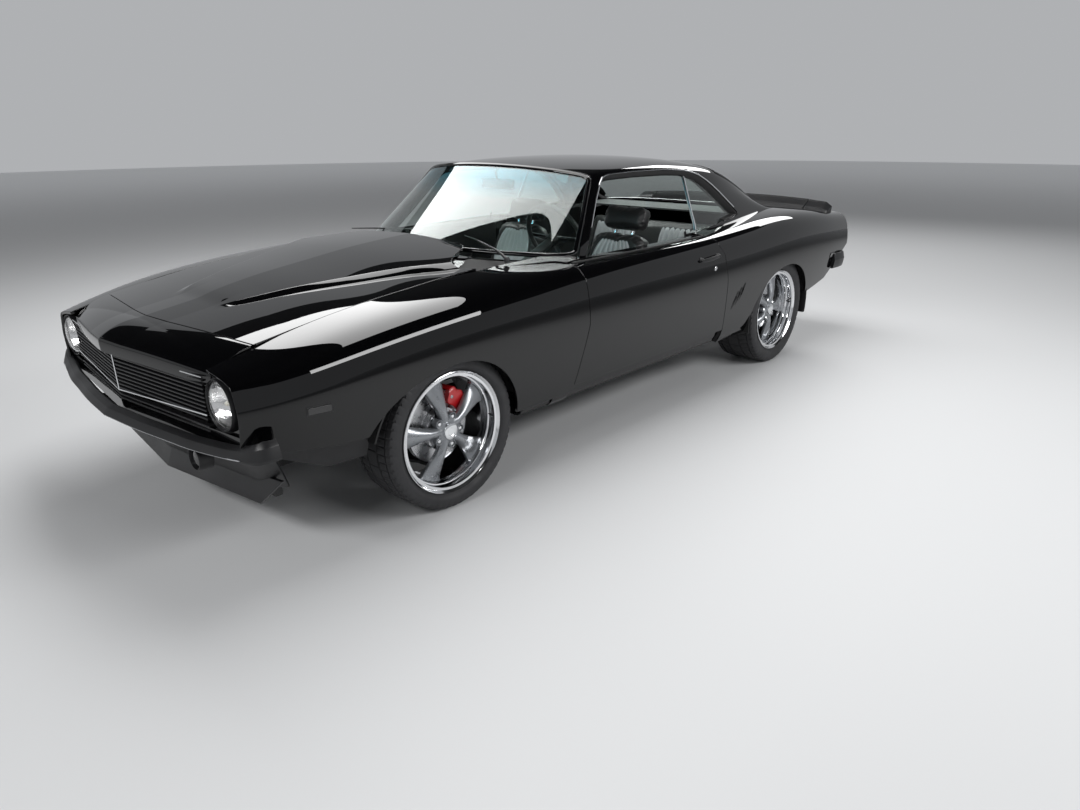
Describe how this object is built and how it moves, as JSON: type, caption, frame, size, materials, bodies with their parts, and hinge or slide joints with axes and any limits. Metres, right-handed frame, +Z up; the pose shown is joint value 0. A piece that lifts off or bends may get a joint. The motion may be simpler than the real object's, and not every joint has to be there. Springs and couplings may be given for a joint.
{
  "type": "muscle car",
  "caption": "Lowered late-1960s two-door hardtop muscle car in gloss black, with opening doors, hood and trunk lid, steering front wheels and rolling wheels.",
  "frame": {"origin": "on the floor under the middle of the car's bounding box", "axes": "+X to the car's left, +Y to its rear, +Z up"},
  "size_m": [1.8742, 4.724, 1.299],
  "materials": {
    "body_paint": "gloss black paint",
    "bumper_black": "gloss black paint on steel",
    "chassis_black": "satin black underbody paint",
    "grille_plastic": "satin black",
    "cast_block": "cast iron",
    "steel_pipe": "aluminised steel",
    "tank_steel": "plated steel",
    "brake_steel": "turned steel",
    "caliper_red": "red enamel",
    "wheel_grey": "grey painted spokes with a polished lip",
    "tyre_rubber": "black rubber",
    "clear_glass": "clear",
    "red_lens": "red lens",
    "amber_lens": "amber lens",
    "dash_plastic": "grained black",
    "seat_leather": "black leather with light grey inserts"
  },
  "bodies": {
    "root": {"front_fenders": "body_paint", "quarter_left": "body_paint", "quarter_right": "body_paint", "roof": "body_paint", "header_panel": "body_paint", "cowl_panel": "body_paint", "rear_deck": "body_paint", "tail_panel": "body_paint", "front_valance": "body_paint", "spoiler_ends": "body_paint", "front_bumper": "bumper_black", "rear_bumper": "bumper_black", "floor_pan": "chassis_black", "front_subframe": "chassis_black", "sills_and_hinge_pillars": "chassis_black", "wheel_liners": "chassis_black", "grille": "grille_plastic", "chin_spoiler": "grille_plastic", "engine_and_gearbox": "cast_block", "rear_axle": "cast_block", "exhaust": "steel_pipe", "fuel_tank": "tank_steel", "windshield": "clear_glass", "rear_window": "clear_glass", "quarter_windows": "clear_glass", "headlamps": "clear_glass", "tail_lamps": "red_lens", "marker_lamps": "amber_lens", "dashboard": "dash_plastic", "steering_wheel": "dash_plastic", "cabin_mirror": "dash_plastic", "wipers": "dash_plastic", "front_seats": "seat_leather", "rear_seat": "seat_leather"},
    "hood": {"hood": "body_paint"},
    "trunk_lid": {"trunk_lid": "body_paint", "rear_spoiler": "body_paint"},
    "door_left": {"door_left": "body_paint"},
    "door_right": {"door_right": "body_paint"},
    "knuckle_left": {"knuckle_left": "cast_block", "front_caliper_left": "caliper_red"},
    "knuckle_right": {"knuckle_right": "cast_block", "front_caliper_right": "caliper_red"},
    "wheel_front_left": {"tyre_front_left": "tyre_rubber", "rim_front_left": "wheel_grey", "brake_disc_front_left": "brake_steel"},
    "wheel_front_right": {"tyre_front_right": "tyre_rubber", "rim_front_right": "wheel_grey", "brake_disc_front_right": "brake_steel"},
    "wheel_rear_left": {"tyre_rear_left": "tyre_rubber", "rim_rear_left": "wheel_grey", "brake_disc_rear_left": "brake_steel"},
    "wheel_rear_right": {"tyre_rear_right": "tyre_rubber", "rim_rear_right": "wheel_grey", "brake_disc_rear_right": "brake_steel"}
  },
  "joints": [
    {"name": "hood_hinge", "type": "hinge", "parent": "root", "child": "hood", "pos_m": [0, -0.933, 0.972], "axis": [-1, 0, 0], "range_deg": [0, 45]},
    {"name": "trunk_hinge", "type": "hinge", "parent": "root", "child": "trunk_lid", "pos_m": [0, 1.629, 0.962], "axis": [1, 0, 0], "range_deg": [0, 55]},
    {"name": "door_left_hinge", "type": "hinge", "parent": "root", "child": "door_left", "pos_m": [0.925, -0.6, 0.6], "axis": [0, 0, -1], "range_deg": [0, 65]},
    {"name": "door_right_hinge", "type": "hinge", "parent": "root", "child": "door_right", "pos_m": [-0.925, -0.6, 0.6], "axis": [0, 0, 1], "range_deg": [0, 65]},
    {"name": "steer_left", "type": "hinge", "parent": "root", "child": "knuckle_left", "pos_m": [0.74, -1.407, 0.3225], "axis": [0, 0, 1], "range_deg": [-30, 30]},
    {"name": "steer_right", "type": "hinge", "parent": "root", "child": "knuckle_right", "pos_m": [-0.74, -1.407, 0.3225], "axis": [0, 0, 1], "range_deg": [-30, 30]},
    {"name": "roll_front_left", "type": "hinge", "parent": "knuckle_left", "child": "wheel_front_left", "pos_m": [0.765, -1.407, 0.3225], "axis": [1, 0, 0], "continuous": true},
    {"name": "roll_front_right", "type": "hinge", "parent": "knuckle_right", "child": "wheel_front_right", "pos_m": [-0.765, -1.407, 0.3225], "axis": [1, 0, 0], "continuous": true},
    {"name": "roll_rear_left", "type": "hinge", "parent": "root", "child": "wheel_rear_left", "pos_m": [0.749, 1.336, 0.3385], "axis": [1, 0, 0], "continuous": true},
    {"name": "roll_rear_right", "type": "hinge", "parent": "root", "child": "wheel_rear_right", "pos_m": [-0.749, 1.336, 0.3385], "axis": [1, 0, 0], "continuous": true}
  ],
  "couplings": [
    {"joint": "steer_right", "follows": "steer_left", "ratio": 1}
  ]
}
